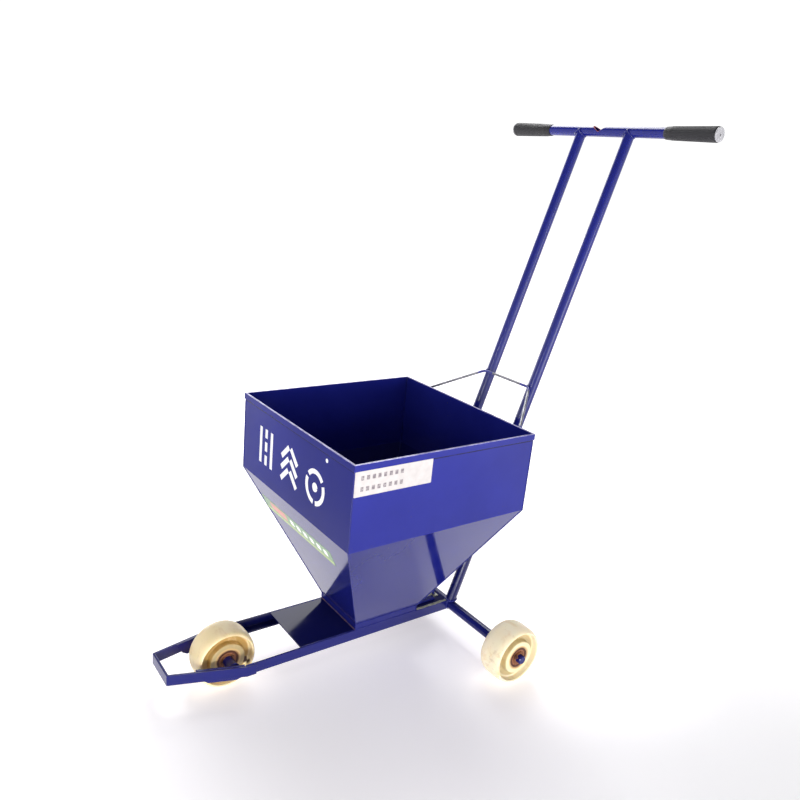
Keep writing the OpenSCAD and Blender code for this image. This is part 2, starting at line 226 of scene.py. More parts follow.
def paint(name, tone=1.0, wave=0.0, brushed=0.00001, gloss=(0.06, 0.15), marks=None, ior=1.42):
    """Glossy blue enamel, darker for a lower tone.

    wave is the sheet's unevenness and brushed the paint film's, in metres. Sheets get painted shade below the
    fold, on the down-facing chute and the base plate under it.
    marks adds the wear, primer, painted shade and painted highlight of one piece.
    """
    s = Shader(name, ior=ior)
    cloud = s.noise(5.0, 5.0, 0.55)
    colour = s.ramp(cloud, (0.32, toned(NAVY, tone)), (0.68, toned(BLUE, tone)))
    fine = s.span(s.noise(260.0, 2.0), 0.70, 0.76)
    dusty = s.span(s.noise(11.0, 2.0, seed=3.0), 0.55, 0.68)
    speck = s.math("MULTIPLY", fine, dusty)
    colour = s.mix(speck, colour, PAINT_DUST)
    rough = s.span(s.noise(16.0, 6.0, 0.6, 0.6), 0.35, 0.75, *gloss)
    if wave:
        # Painted shade: below the fold the sheet is drawn darker, on the down-facing chute and the base
        # plate.
        below = s.span(s.axis("Z"), fold_z - 1.5 * MM, fold_z + 0.5 * MM, 0.50, 0.0)
        colour = s.mix(below, colour, toned(NAVY, tone * 0.3))
    if marks:
        colour, rough = marks(s, colour, rough)
    s.set("Base Color", colour)
    s.set("Roughness", rough)
    if wave:
        s.bump(s.noise(4.5, 1.0, seed=1.7), wave)
        s.bump(s.noise(14.0, 1.0, seed=5.1, stretch=(1.0, 0.6, 1.6)), wave * 0.12)
    s.bump(s.noise(110.0, 2.0, stretch=(1.0, 1.0, 0.5)), brushed)
    s.bump(s.noise(900.0, 1.0), brushed * 0.1)
    return s.material


def front_scuffs_and_shade(s, colour, rough):
    """Painted shade as deeper blue towards the front panel's low +X corner, dark scuffs along its hem, and
    the rim's pale top edge of wear and painted highlight.
    """
    # Painted shade: the front panel is drawn deeper blue towards its low +X corner.
    slant = s.math("SUBTRACT", s.axis("X"), s.math("MULTIPLY", s.axis("Z"), 0.9))
    front_shade = s.span(slant, -0.55, -0.20, 0.0, 0.55)
    colour = s.mix(front_shade, colour, SHADE_NAVY)
    near_hem = s.band(s.axis("Z"), rim_z - HEM_H - 1.5 * MM, rim_z - HEM_H + 1.5 * MM, 1.0 * MM)
    right_half = s.span(s.axis("X"), -0.03, -0.10)
    chip = s.span(s.noise(70.0, 3.0, 0.6, stretch=(1.0, 1.0, 0.3)), 0.52, 0.58)
    scuff = s.math("MULTIPLY", s.math("MULTIPLY", near_hem, right_half), chip)
    colour = s.mix(scuff, colour, SCUFF_BLACK)
    return rim_wear_and_highlight(s, colour, rough)


def hem_shadow(s, colour):
    """Painted shadow: a dark band in the groove under the hem, on the walls' outer faces."""
    level = s.axis("Z")
    groove = s.band(level, rim_z - HEM_H - 2.2 * MM, rim_z - HEM_H - 0.2 * MM, 1.0 * MM)
    across = s.math("ABSOLUTE", s.axis("X"))
    along = s.math("ABSOLUTE", s.math("SUBTRACT", s.axis("Y"), hopper_y))
    past_x = s.math("SUBTRACT", across, skirt_x - 1 * MM)
    past_y = s.math("SUBTRACT", along, skirt_rear_y - hopper_y - 1 * MM)
    outside = s.span(s.math("MAXIMUM", past_x, past_y), -0.3 * MM, 0.3 * MM)
    ragged = s.span(s.noise(45.0, 4.0, 0.6), 0.30, 0.55, 0.55, 1.0)
    dirt_and_shade = s.math("MULTIPLY", s.math("MULTIPLY", groove, ragged), outside)
    return s.mix(dirt_and_shade, colour, HEM_SHADE)


def rim_wear_and_highlight(s, colour, rough):
    """Pale, dull paint on the rim's top edge, partly wear and partly a painted highlight of the rolled rim;
    the painted shadow under the hem is added too.
    """
    top = s.span(s.axis("Z"), rim_z - 0.9 * MM, rim_z - 0.3 * MM)
    wear_and_highlight = s.math("MULTIPLY", top, s.span(s.noise(60.0, 4.0, 0.65), 0.35, 0.62, 0.45, 0.95))
    colour = s.mix(wear_and_highlight, colour, WEAR_AND_HIGHLIGHT_LILAC)
    return hem_shadow(s, colour), s.math("MAXIMUM", rough, s.math("MULTIPLY", wear_and_highlight, 0.25))


def low_tube_shade(s, colour, rough):
    """Painted shade: darker paint low on the handle tubes, where the hopper shades them; the paint is duller
    there too.
    """
    low = s.span(s.axis("Z"), 0.13, 0.34, 0.75, 0.0)
    return s.mix(low, colour, toned(NAVY, 0.25)), s.math("ADD", rough, s.math("MULTIPLY", low, 0.20))


def notch_primer(s, colour, rough):
    """Red primer on the saw cut of the sighting notch."""
    side = s.math("ABSOLUTE", s.math("SUBTRACT", s.axis("X"), NOTCH_X))
    cut_z = s.math("MULTIPLY_ADD", side, NOTCH_DEPTH / NOTCH_HALF)
    cut_z.node.inputs[2].default_value = bar_high.z - NOTCH_DEPTH
    off = s.math("ABSOLUTE", s.math("SUBTRACT", s.axis("Z"), cut_z))
    near_cut = s.span(off, 0.55 * MM, 0.25 * MM)
    inside = s.span(side, NOTCH_HALF, NOTCH_HALF - 1 * MM)
    on_cut = s.math("MULTIPLY", near_cut, inside)
    streak = s.span(s.noise(120.0, 3.0), 0.25, 0.6, 0.35, 1.0)
    on_cut = s.math("MULTIPLY", on_cut, streak)
    return s.mix(on_cut, colour, PRIMER), s.math("MAXIMUM", rough, s.math("MULTIPLY", on_cut, 0.6))


# The wheels' colour bands are shares of BAND_R, and their tread's dirt starts at TREAD_R.
BAND_R = 55 * MM
TREAD_R = 47.5 * MM
TURNING_PITCH = 1.6 * MM


def nylon(name, centre, cream, hub, recess, seed, blot=None):
    """Yellowed cast nylon: stains and colour follow the distance from the axle, with painted shade in the
    recess band.
    """
    s = Shader(name, roughness=0.42, ior=1.5)
    s.set("Subsurface Weight", 0.45)
    s.surface.inputs["Subsurface Radius"].default_value = (0.012, 0.009, 0.005)
    offset = s.vector("SUBTRACT", s.position, tuple(centre))
    radius = s.vector("LENGTH", s.vector("MULTIPLY", offset, (0, 1, 1)), (0, 0, 0))
    wobble = s.math("MULTIPLY", s.math("SUBTRACT", s.noise(38.0, 3.0, seed=seed), 0.5), 0.0045)
    worn_radius = s.math("ADD", radius, wobble)
    share = s.math("DIVIDE", worn_radius, BAND_R)
    tan = (0.74, 0.54, 0.28, 1)
    # Bands out from the axle: brown at the bearing, then hub, recess and tread; the recess band carries
    # painted shade over the yellowing.
    colour = s.ramp(
        share,
        (0.36, (0.20, 0.07, 0.02, 1)),
        (0.42, (0.66, 0.44, 0.20, 1)),
        (0.47, hub),
        (0.565, hub),
        (0.61, recess),
        (0.775, recess),
        (0.84, cream),
    )
    stain = s.span(s.noise(30.0, 5.0, 0.62, 0.8, seed=seed + 2), 0.50, 0.72, 0.0, 0.75)
    colour = s.mix(stain, colour, tan)
    tread = s.span(radius, TREAD_R, TREAD_R + 5 * MM)
    dirt_and_shade = s.math("MULTIPLY", tread, s.span(s.noise(55.0, 6.0, 0.7, seed=seed + 4), 0.55, 0.74, 0.0, 0.50))
    colour = s.mix(dirt_and_shade, colour, (0.46, 0.30, 0.14, 1))
    speck = s.math("MULTIPLY", s.span(s.noise(230.0, 2.0, seed=seed), 0.70, 0.76), 0.4)
    colour = s.mix(speck, colour, (0.26, 0.17, 0.09, 1))
    if blot:
        far = s.vector("DISTANCE", s.position, blot)
        blot_reach = s.math("ADD", far, s.math("MULTIPLY", s.noise(90.0, 3.0), 0.006))
        colour = s.mix(s.span(blot_reach, 0.0125, 0.0095), colour, (0.035, 0.012, 0.008, 1))
    s.set("Base Color", colour)
    s.set("Roughness", s.span(s.noise(25.0, 4.0, seed=seed), 0.3, 0.7, 0.34, 0.55))
    s.bump(s.math("SINE", s.math("MULTIPLY", radius, 2 * math.pi / TURNING_PITCH)), 0.00002)
    s.bump(s.noise(60.0, 5.0, 0.6), 0.00025)
    s.bump(s.noise(500.0, 3.0), 0.00004)
    return s.material


def rusty(name, dark, light, grain=150.0):
    """Rusted steel in three browns, finer for a higher grain."""
    s = Shader(name, metallic=0.25)
    cloud = s.noise(grain, 6.0, 0.7)
    s.set("Base Color", s.ramp(cloud, (0.30, dark), (0.52, light), (0.75, toned(light, 0.6))))
    s.set("Roughness", s.span(cloud, 0.3, 0.7, 0.75, 0.45))
    s.bump(s.noise(grain * 3, 4.0, 0.7), 0.00015)
    return s.material


def rubber():
    """Matt moulded rubber, greyed by handling."""
    s = Shader("grip_rubber", ior=1.5)
    cloud = s.noise(30.0, 5.0, 0.6, stretch=(0.35, 1.0, 1.0))
    s.set("Base Color", s.ramp(cloud, (0.30, (0.011, 0.011, 0.013, 1)), (0.75, (0.025, 0.025, 0.029, 1))))
    s.set("Roughness", s.span(cloud, 0.3, 0.7, 0.50, 0.68))
    s.set("Specular IOR Level", 0.35)
    s.bump(s.noise(800.0, 3.0), 0.00012)
    return s.material


def drawn_wire():
    """Dull drawn steel, with blue paint where it was brushed along with the tubes."""
    s = Shader("drawn_wire", metallic=0.6)
    side = s.math("ABSOLUTE", s.axis("X"))
    near_tube = s.band(side, tube_x - 17 * MM, tube_x + 8 * MM, 7 * MM)
    near_foot = s.span(side, stay_high.x - 30 * MM, stay_high.x - 8 * MM)
    painted = s.math("MAXIMUM", near_tube, near_foot)
    ragged = s.span(s.math("ADD", painted, s.math("MULTIPLY", s.noise(120.0, 3.0), 0.5)), 0.55, 0.80)
    steel = s.ramp(s.noise(90.0, 4.0), (0.3, (0.12, 0.12, 0.14, 1)), (0.7, (0.34, 0.34, 0.36, 1)))
    s.set("Base Color", s.mix(ragged, steel, BLUE))
    s.set("Metallic", s.math("SUBTRACT", 0.6, s.math("MULTIPLY", ragged, 0.6)))
    s.set("Roughness", s.span(s.noise(200.0, 3.0), 0.3, 0.7, 0.24, 0.48))
    s.bump(s.noise(600.0, 2.0), 0.00003)
    return s.material


def bare_sheet():
    """Unpainted sheet, scratched along its travel and dulled by powder."""
    s = Shader("bare_sheet", metallic=0.75)
    scratch = s.noise(380.0, 3.0, stretch=(1.0, 0.04, 1.0))
    cloud = s.noise(28.0, 5.0, 0.6)
    colour = s.ramp(cloud, (0.3, OLIVE), (0.7, BARE))
    s.set("Base Color", s.mix(s.span(scratch, 0.5, 0.8, 0.0, 0.6), colour, (0.5, 0.5, 0.47, 1)))
    s.set("Roughness", s.span(scratch, 0.3, 0.7, 0.32, 0.5))
    s.bump(scratch, 0.00003)
    return s.material


def polished(name, colour, rough):
    """Bright polished metal with faint cloudiness."""
    s = Shader(name, metallic=1.0)
    s.set("Base Color", s.ramp(s.noise(300.0, 3.0), (0.3, toned(colour, 0.8)), (0.7, colour)))
    s.set("Roughness", s.span(s.noise(500.0, 3.0), 0.3, 0.7, rough, rough * 1.8))
    s.bump(s.noise(900.0, 2.0), 0.00001)
    return s.material


def seam(name, first, second):
    """Raw weld metal with primer and soot on it."""
    s = Shader(name, metallic=0.15)
    cloud = s.noise(130.0, 5.0, 0.65)
    s.set("Base Color", s.ramp(cloud, (0.35, first), (0.65, second)))
    s.set("Roughness", s.span(cloud, 0.3, 0.7, 0.35, 0.6))
    s.bump(s.noise(700.0, 3.0), 0.00008)
    return s.material


ROW_H = 7 * MM
DASH_PITCH = 11 * MM


def flat_print(name, first, second, rough, rows=None):
    """Paper, sticker or stencil paint: two close tones, fine grain, and plain dashed rows if asked for."""
    s = Shader(name)
    colour = s.ramp(s.noise(75.0, 5.0, 0.6), (0.3, first), (0.7, second))
    if rows:
        height, along, low, high = s.axis("Z"), s.axis("Y"), rows["start"], rows["end"]
        for level in rows["levels"]:
            in_row = s.band(height, level, level + ROW_H, 0.8 * MM)
            line = s.math("MULTIPLY", in_row, s.band(along, low, high, 0.5 * MM))
            dash = s.span(s.math("SINE", s.math("MULTIPLY", along, 2 * math.pi / DASH_PITCH)), -0.5, 0.2)
            wear_and_highlight = s.math("MULTIPLY", line, s.span(s.noise(330.0, 3.0), 0.3, 0.6, 0.45, 0.95))
            wear_and_highlight = s.math("MULTIPLY", wear_and_highlight, dash)
            colour = s.mix(wear_and_highlight, colour, rows["ink"])
    s.set("Base Color", colour)
    s.set("Roughness", rough)
    s.bump(s.noise(450.0, 3.0), 0.00002)
    return s.material


SHEET_WAVE = 0.0006
BRUSHED = 0.00003
# Painted shade: one blue enamel, drawn in lower tones on parts that get less light: the base plate under the
# hopper, the chassis bars, the handle tubes, the cross bar and the front panel.
sheet_paint = paint("sheet_paint", tone=0.55, wave=SHEET_WAVE)
rim_paint = paint("rim_paint", wave=SHEET_WAVE, marks=rim_wear_and_highlight)
front_paint = paint("front_paint", tone=0.9, wave=SHEET_WAVE, marks=front_scuffs_and_shade, ior=1.22)
tube_paint = paint("tube_paint", tone=0.75, brushed=BRUSHED, gloss=(0.08, 0.18), marks=low_tube_shade, ior=1.5)
bar_paint = paint("bar_paint", tone=0.55, brushed=BRUSHED, gloss=(0.10, 0.22))
# Painted shade: the far rail is drawn darkest of all.
far_rail_shade_paint = paint("far_rail_shade_paint", tone=0.30, brushed=BRUSHED, gloss=(0.10, 0.22))
notch_paint = paint("notch_paint", tone=0.85, brushed=BRUSHED, gloss=(0.12, 0.24), marks=notch_primer)
weld_paint = paint("weld_paint", tone=0.7, brushed=0.00004, gloss=(0.12, 0.26))
rust = rusty("rust", (0.055, 0.018, 0.010, 1), (0.26, 0.095, 0.035, 1))
dark_rust = rusty("dark_rust", (0.020, 0.007, 0.005, 1), (0.10, 0.030, 0.016, 1))
shield_rust = rusty("shield_rust", (0.07, 0.022, 0.012, 1), (0.33, 0.12, 0.05, 1), grain=220.0)
steel_balls = polished("steel_balls", (0.62, 0.62, 0.63, 1), 0.12)
bare = bare_sheet()
cap_plastic = flat_print("cap_plastic", (0.30, 0.30, 0.32, 1), (0.44, 0.44, 0.46, 1), 0.25)
wire = drawn_wire()
grip_rubber = rubber()
brown_seam = seam("brown_seam", SEAM_BROWN, (0.022, 0.014, 0.10, 1))
olive_seam = seam("olive_seam", OLIVE, (0.20, 0.20, 0.17, 1))

# For each wheel: the colours of its tread, hub and recess, and the seed of its stains.
# Painted shade: the recess colours are drawn darker for the shade in the sunken recess, over the nylon's
# yellowing.
wheel_looks = {
    "front": ((0.86, 0.71, 0.43, 1), (0.47, 0.36, 0.18, 1), (0.42, 0.26, 0.075, 1), 1.0),
    "left": ((0.86, 0.76, 0.54, 1), (0.80, 0.72, 0.44, 1), (0.48, 0.38, 0.20, 1), 7.0),
    "right": ((0.86, 0.76, 0.54, 1), (0.80, 0.70, 0.44, 1), (0.56, 0.46, 0.26, 1), 13.0),
}


# ---------------------------------------------------------------- the CAD nodes' finish

WELD_GAP = 0.001 * MM


def dress(node, material, bevel, sharp=20):
    """Gives a CAD node its material and slot, and eases edges of more than sharp degrees by bevel metres."""
    o = nodes[node]
    o.data.materials.clear()
    o.data.materials.append(material)
    o.data.polygons.foreach_set("use_smooth", [True] * len(o.data.polygons))
    if bevel:
        weld = o.modifiers.new("weld", "WELD")
        weld.merge_threshold = WELD_GAP
        ease = o.modifiers.new("ease", "BEVEL")
        ease.width = bevel
        ease.segments = 2
        ease.limit_method = "ANGLE"
        ease.angle_limit = math.radians(sharp)
        o.modifiers.new("normals", "WEIGHTED_NORMAL")


for node, material, bevel in (
    ("hopper_front", front_paint, 0.5 * MM),
    ("hopper_rear", rim_paint, 0.5 * MM),
    ("hopper_left", rim_paint, 0.5 * MM),
    ("hopper_right", rim_paint, 0.5 * MM),
    ("base_plate", sheet_paint, 0.5 * MM),
    ("shutter_guides", bar_paint, 0.4 * MM),
    ("rail_left", bar_paint, 0.7 * MM),
    ("rail_right", far_rail_shade_paint, 0.7 * MM),
    ("nose_bar", bar_paint, 0.8 * MM),
    ("axle_plate_left", bar_paint, 0.6 * MM),
    ("axle_plate_right", bar_paint, 0.6 * MM),
    ("front_axle", bar_paint, 0.6 * MM),
    ("front_spacers", bar_paint, 0.4 * MM),
    ("rear_axle_tube", bar_paint, 0.4 * MM),
    ("rear_axle", bar_paint, 0.3 * MM),
    ("handle_tube_left", tube_paint, 0.0),
    ("handle_tube_right", tube_paint, 0.0),
    ("cross_bar", notch_paint, 0.3 * MM),
    ("shutter_pull", bar_paint, 0.0),
):
    dress(node, material, bevel)
dress("shutter_plate", bare, 0.3 * MM)
dress("rear_washers", rust, 0.2 * MM)
dress("split_pins", dark_rust, 0.0)
dress("bar_caps", cap_plastic, 0.0)
# A dark blot in the front wheel's recess.
blots = {"front": centre_of("front_wheel") + Vector((19, 37, -17)) * MM}
for wheel, (cream, hub, recess, seed) in wheel_looks.items():
    middle = centre_of(f"{wheel}_wheel")
    look = nylon(f"{wheel}_nylon", middle, cream, hub, recess, seed, blots.get(wheel))
    dress(f"{wheel}_wheel", look, 0.8 * MM, sharp=38)
    dress(f"{wheel}_outer_races", dark_rust, 0.3 * MM)
    dress(f"{wheel}_inner_races", rust, 0.3 * MM)
    dress(f"{wheel}_shields", shield_rust, 0.15 * MM)
    dress(f"{wheel}_balls", steel_balls, 0.0)


# ---------------------------------------------------------------- mesh building

def place_mesh(name, vertices, faces, material, body="cart", smooth=35):
    """A new piece on a body, its sharp edges kept above smooth degrees."""
    mesh = bpy.data.meshes.new(name)
    mesh.from_pydata([tuple(v) for v in vertices], [], faces)
    mesh.validate()
    mesh.polygons.foreach_set("use_smooth", [True] * len(mesh.polygons))
    mesh.set_sharp_from_angle(angle=math.radians(smooth))
    mesh.materials.append(material)
    o = bpy.data.objects.new(name, mesh)
    bpy.context.scene.collection.objects.link(o)
    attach(o, body)
    return o


def resample(points, step, closed=False):
    """Points evenly spaced along a polyline, about step apart."""
    corners = [Vector(p) for p in points]
    if closed:
        corners.append(corners[0])
    lengths = [0.0]
    for a, b in zip(corners, corners[1:]):
        lengths.append(lengths[-1] + (b - a).length)
    count = max(2, round(lengths[-1] / step))
    out, k = [], 0
    for i in range(count + (0 if closed else 1)):
        distance = lengths[-1] * i / count
        while k < len(lengths) - 2 and distance > lengths[k + 1]:
            k += 1
        share = (distance - lengths[k]) / (lengths[k + 1] - lengths[k])
        out.append(corners[k].lerp(corners[k + 1], share))
    return out


def sweep(points, radii, sides, closed=False):
    """Vertices and faces of a round bar along points, with flat ends unless closed."""
    count = len(points)
    tangents = []
    for i in range(count):
        before = points[i - 1] if closed or i else points[0]
        after = points[(i + 1) % count] if closed or i < count - 1 else points[-1]
        tangents.append((after - before).normalized())
    normal = tangents[0].orthogonal().normalized()
    vertices, faces = [], []
    for i in range(count):
        normal = (normal - tangents[i] * normal.dot(tangents[i])).normalized()
        side = tangents[i].cross(normal)
        for k in range(sides):
            angle = 2 * math.pi * k / sides
            vertices.append(points[i] + (normal * math.cos(angle) + side * math.sin(angle)) * radii[i])
    for i in range(count if closed else count - 1):
        j = (i + 1) % count
        for k in range(sides):
            m = (k + 1) % sides
            faces.append((i * sides + k, i * sides + m, j * sides + m, j * sides + k))
    if not closed:
        faces.append(tuple(range(sides - 1, -1, -1)))
        faces.append(tuple(range((count - 1) * sides, count * sides)))
    return vertices, faces


def join(parts):
    """One list of vertices and one of faces from several pairs of them."""
    vertices, faces = [], []
    for v, f in parts:
        base = len(vertices)
        vertices.extend(v)
        faces.extend(tuple(i + base for i in face) for face in f)
    return vertices, faces


def welds(name, paths, radius, material, pitch=4.0 * MM, lump=0.22, closed=False, body="cart"):
    """Weld beads along paths: overlapping scallops of uneven height."""
    parts = []
    for number, path in enumerate(paths):
        points = resample(path, pitch / 4, closed)
        radii, moved = [], []
        for i, p in enumerate(points):
            travelled = i * pitch / 4
            scallop = abs(math.sin(math.pi * travelled / pitch))
            uneven = noise.noise(Vector((travelled * 90, number * 5.3, 1.1)))
            taper = 1.0 if closed else min(1.0, 0.45 + min(i, len(points) - 1 - i) * 0.22)
            radii.append(radius * taper * (1 - lump * 0.5 + lump * scallop * 0.7 + lump * uneven))
            spots = [Vector((travelled * 60, number * 3.1, row)) for row in (7.7, 17.7, 27.7)]
            shift = Vector([noise.noise(spot) for spot in spots])
            moved.append(p + shift * radius * lump)
        parts.append(sweep(moved, radii, 8, closed))
    vertices, faces = join(parts)
    return place_mesh(name, vertices, faces, material, body, smooth=60)


def slabs(name, outlines, origin, u, v, thickness, material, lift=0.0):
    """Thin plates cut to outlines in the plane of u and v, standing out from it by thickness."""
    n = u.cross(v).normalized()
    parts = []
    for outline in outlines:
        count = len(outline)
        vertices = [origin + u * a + v * b + n * lift for a, b in outline]
        vertices += [p + n * thickness for p in vertices[:count]]
        faces = [tuple(range(count - 1, -1, -1)), tuple(range(count, 2 * count))]
        faces += [(i, (i + 1) % count, count + (i + 1) % count, count + i) for i in range(count)]
        parts.append((vertices, faces))
    vertices, faces = join(parts)
    return place_mesh(name, vertices, faces, material, smooth=25)


CORNER_STEPS = 4
ARC_STEPS = 16
BEND_STEPS = 8


def rounded(a0, b0, a1, b1, r):
    """Outline of a rectangle with corners of radius r."""
    out = []
    corners = ((a1 - r, b0 + r, -90), (a1 - r, b1 - r, 0), (a0 + r, b1 - r, 90), (a0 + r, b0 + r, 180))
    for ca, cb, start in corners:
        for i in range(CORNER_STEPS + 1):
            angle = math.radians(start + 90 * i / CORNER_STEPS)
            out.append((ca + r * math.cos(angle), cb + r * math.sin(angle)))
    return out


def arc_bar(r0, r1, a0, a1):
    """Outline of a ring's sector, angles in degrees."""
    turn = [math.radians(a0 + (a1 - a0) * i / ARC_STEPS) for i in range(ARC_STEPS + 1)]
    outer = [(r1 * math.cos(a), r1 * math.sin(a)) for a in turn]
    return outer + [(r0 * math.cos(a), r0 * math.sin(a)) for a in reversed(turn)]


def stroke(p, q, width):
    """Outline of a straight stroke of the stencil brush from p to q."""
    along = Vector((q[0] - p[0], q[1] - p[1])).normalized()
    across = Vector((-along.y, along.x)) * width / 2
    ends = [Vector(p) - across, Vector(q) - across, Vector(q) + across, Vector(p) + across]
    return [(e.x, e.y) for e in ends]


def shifted(outline, da, db):
    return [(a + da, b + db) for a, b in outline]


def enlarged(outline, scale):
    return [(a * scale, b * scale) for a, b in outline]


# ---------------------------------------------------------------- weld beads

def corner_line(sx, sy, inset=0.0):
    """The hopper's corner from the hem down the skirt, the chute and the neck, inset from its outside."""
    slope_x = math.atan2(skirt_x - OUTLET_X, fold_z - neck_z)
    rise = inset * math.tan(slope_x / 2)
    front, rear = skirt_front_y, skirt_rear_y
    skirt_y = (front + inset) if sy < 0 else (rear - inset)
    outlet_y = hopper_y + sy * (OUTLET_Y - inset)
    top = rim_z - 1 * MM if inset else rim_z - HEM_H
    return [
        (sx * (skirt_x - inset), skirt_y, top),
        (sx * (skirt_x - inset), skirt_y, fold_z + rise),
        (sx * (OUTLET_X - inset), outlet_y, neck_z + rise),
        (sx * (OUTLET_X - inset), outlet_y, plate_z + 0.5 * MM),
    ]


CORNERS = [(1, -1), (1, 1), (-1, -1), (-1, 1)]
INSIDE = 2.6 * MM
outside_lines = [corner_line(*corner) for corner in CORNERS]
inside_lines = [corner_line(*corner, INSIDE) for corner in CORNERS]
welds("hopper_corner_welds", outside_lines, 1.1 * MM, weld_paint, pitch=7 * MM, lump=0.10)
welds("hopper_inside_welds", inside_lines, 2.0 * MM, weld_paint, pitch=5 * MM)

neck_rear = hopper_y + OUTLET_Y
neck_front = hopper_y - OUTLET_Y
plate_weld_start = neck_rear + 3 * MM
plate_weld_end = plate_high.y - 1 * MM
welds(
    "neck_front_weld",
    [[(-OUTLET_X, neck_front, plate_z), (OUTLET_X, neck_front, plate_z)]],
    1.9 * MM,
    brown_seam,
    pitch=4.5 * MM,
)
welds(
    "neck_side_welds",
    [[(s * OUTLET_X, neck_front, plate_z), (s * OUTLET_X, neck_rear, plate_z)] for s in (1, -1)],
    1.3 * MM,
    weld_paint,
)
welds(
    "plate_edge_welds",
    [
        [(s * plate_high.x, y, plate_z - 0.2 * MM) for y in (plate_low.y, neck_front)]
        for s in (1, -1)
    ],
    0.9 * MM,
    weld_paint,
    pitch=5 * MM,
)
welds(
    "plate_edge_olive_weld",
    [[(plate_high.x, plate_weld_start, plate_z), (plate_high.x, plate_weld_end, plate_z)]],
    2.6 * MM,
    olive_seam,
    pitch=5 * MM,
    lump=0.3,
)
welds(
    "plate_edge_rear_weld",
    [[(-plate_high.x, plate_weld_start, plate_z), (-plate_high.x, plate_weld_end, plate_z)]],
    1.6 * MM,
    weld_paint,
    pitch=5 * MM,
)

rail_x = rail_high.x
lap_y = rail_low.y + 18 * MM
welds(
    "nose_lap_welds",
    [
        [(s * (rail_x + 0.8 * MM), lap_y, z) for z in (rail_low.z + 1 * MM, rail_high.z - 1 * MM)]
        for s in (1, -1)
    ]
    + [[(s * rail_x, rail_low.y - 2 * MM, rail_high.z), (s * rail_x, lap_y, rail_high.z)] for s in (1, -1)],
    1.7 * MM,
    weld_paint,
)


def ring(centre, radius, axis_u, axis_v, steps=40, start=0.0, turn=360.0):
    """Points round a circle, or round part of it."""
    count = steps if turn == 360.0 else steps + 1
    angles = [math.radians(start + turn * i / steps) for i in range(count)]
    return [centre + (axis_u * math.cos(a) + axis_v * math.sin(a)) * radius for a in angles]


X, Y, Z = Vector((1, 0, 0)), Vector((0, 1, 0)), Vector((0, 0, 1))
OVAL_STEPS = 48

rail_ends = [Vector((s * (rail_x + 0.4 * MM), axle_centre.y, axle_centre.z)) for s in (1, -1)]
welds(
    "rail_end_welds",
    [ring(end, axle_tube_r + 0.6 * MM, Y, Z, 24, 80, 200) for end in rail_ends],
    1.7 * MM,
    weld_paint,
)


def tube_foot(side):
    """The oval where a handle tube meets the chassis top."""
    foot_y = axle_centre.y + (plate_z - axle_centre.z) * tube_dir.y / tube_dir.z
    centre = Vector((side * tube_x, foot_y, plate_z + 0.6 * MM))
    return ring(centre, pipe_r + 0.4 * MM, X, Y / tube_dir.z, OVAL_STEPS)


feet = [tube_foot(s) for s in (1, -1)]
welds("tube_foot_welds", feet, 2.2 * MM, weld_paint, closed=True, lump=0.3)


def saddle(side):
    """The curve where a handle tube runs into the cross bar."""
    across = tube_dir.cross(X)
    points = []
    for i in range(OVAL_STEPS):
        angle = 2 * math.pi * i / OVAL_STEPS
        drop = pipe_r * abs(math.cos(angle))
        offset = X * math.cos(angle) + across * math.sin(angle)
        points.append(Vector((side * tube_x, bar_centre.y, bar_centre.z)) + offset * pipe_r - tube_dir * drop)
    return points


saddles = [saddle(s) for s in (1, -1)]
welds("bar_saddle_welds", saddles, 2.3 * MM, weld_paint, closed=True, lump=0.28)

front_axle_centre = centre_of("front_axle")
spacer_low, spacer_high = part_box("front_spacers")
spacer_ends = (spacer_high.x - 0.6 * MM, spacer_low.x + 0.6 * MM)
welds(
    "spacer_welds",
    [ring(Vector((x, front_axle_centre.y, front_axle_centre.z)), 10.2 * MM, Y, Z, 32) for x in spacer_ends],
    1.3 * MM,
    weld_paint,
    closed=True,
)
pull_y = (pull_low.y + pull_high.y) / 2
pull_ends = (pull_low.x + 2.5 * MM, pull_high.x - 2.5 * MM)
welds(
    "pull_foot_welds",
    [ring(Vector((x, pull_y, pull_low.z + 0.4 * MM)), 2.7 * MM, X, Y, 16) for x in pull_ends],
    0.9 * MM,
    weld_paint,
    pitch=2 * MM,
    closed=True,
    body="shutter",
)


# ---------------------------------------------------------------- stay rod

ROD_R = 2.5 * MM
KNUCKLE_R = 2.9 * MM
BEND_R = 16 * MM


def bent(corners, radius):
    """A polyline with an arc of radius at each inner corner."""
    out = [Vector(corners[0])]
    for a, b, c in zip(corners, corners[1:], corners[2:]):
        a, b, c = Vector(a), Vector(b), Vector(c)
        back, ahead = (a - b).normalized(), (c - b).normalized()
        half = back.angle(ahead) / 2
        centre = b + (back + ahead).normalized() * radius / math.sin(half)
        start = (b + back * radius / math.tan(half) - centre).normalized()
        end = (b + ahead * radius / math.tan(half) - centre).normalized()
        out.extend(centre + start.slerp(end, i / BEND_STEPS) * radius for i in range(BEND_STEPS + 1))
    out.append(Vector(corners[-1]))
    return out


stay_z = stay_high.z - KNUCKLE_R
stay_y = stay_high.y - KNUCKLE_R
foot_x = stay_high.x - 1.6 * MM
foot_y = hopper_rear_high.y - 0.1 * MM
foot_z = rim_z - 23 * MM
corner_x = tube_x + 4 * MM
rod_corners = [
    (-foot_x, foot_y, foot_z),
    (-corner_x, stay_y, stay_z),
    (corner_x, stay_y, stay_z),
    (foot_x, foot_y, foot_z),
]
rod_line = bent(rod_corners, BEND_R)
rod_points = resample(rod_line, 4 * MM)
vertices, faces = sweep(rod_points, [ROD_R] * len(rod_points), 16)
rod = place_mesh("stay_rod_bent", vertices, faces, wire, smooth=60)
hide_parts("stay_rod")

